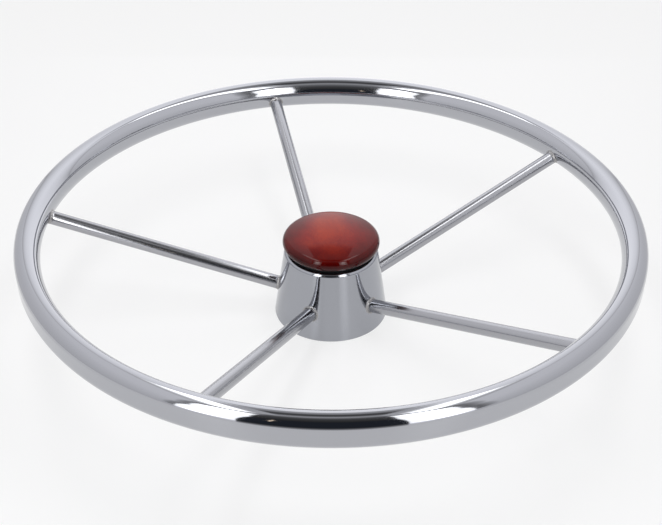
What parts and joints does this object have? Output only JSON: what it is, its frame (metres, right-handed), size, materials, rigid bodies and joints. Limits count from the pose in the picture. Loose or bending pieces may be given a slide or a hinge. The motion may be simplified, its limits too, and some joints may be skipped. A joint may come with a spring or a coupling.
{
  "type": "boat steering wheel",
  "caption": "Polished stainless steel boat steering wheel: oval tube rim, dished round spokes, conical hub with a tapered keyed bore, and a domed red wooden cap.",
  "frame": {"origin": "centre of the hub's back face, on the wheel's axis", "axes": "+Z along the wheel's axis from the back of the hub towards the helm, +Y along the top spoke, in line with the keyway"},
  "size_m": [0.3999, 0.4, 0.0778],
  "materials": {
    "polished_steel": "polished",
    "machined_steel": "satin",
    "lacquered_wood": "gloss",
    "black_rubber": "matte"
  },
  "bodies": {
    "root": {"rim_tube": "polished_steel", "hub_shell": "polished_steel", "spoke_1": "polished_steel", "spoke_2": "polished_steel", "spoke_3": "polished_steel", "spoke_4": "polished_steel", "spoke_5": "polished_steel", "hub_weld_1": "polished_steel", "hub_weld_2": "polished_steel", "hub_weld_3": "polished_steel", "hub_weld_4": "polished_steel", "hub_weld_5": "polished_steel", "rim_weld_1": "polished_steel", "rim_weld_2": "polished_steel", "rim_weld_3": "polished_steel", "rim_weld_4": "polished_steel", "rim_weld_5": "polished_steel", "hub_base_plate": "machined_steel", "shaft_boss": "machined_steel", "base_weld": "machined_steel", "boss_weld": "machined_steel", "cap": "lacquered_wood", "cap_ring": "black_rubber"}
  },
  "joints": []
}
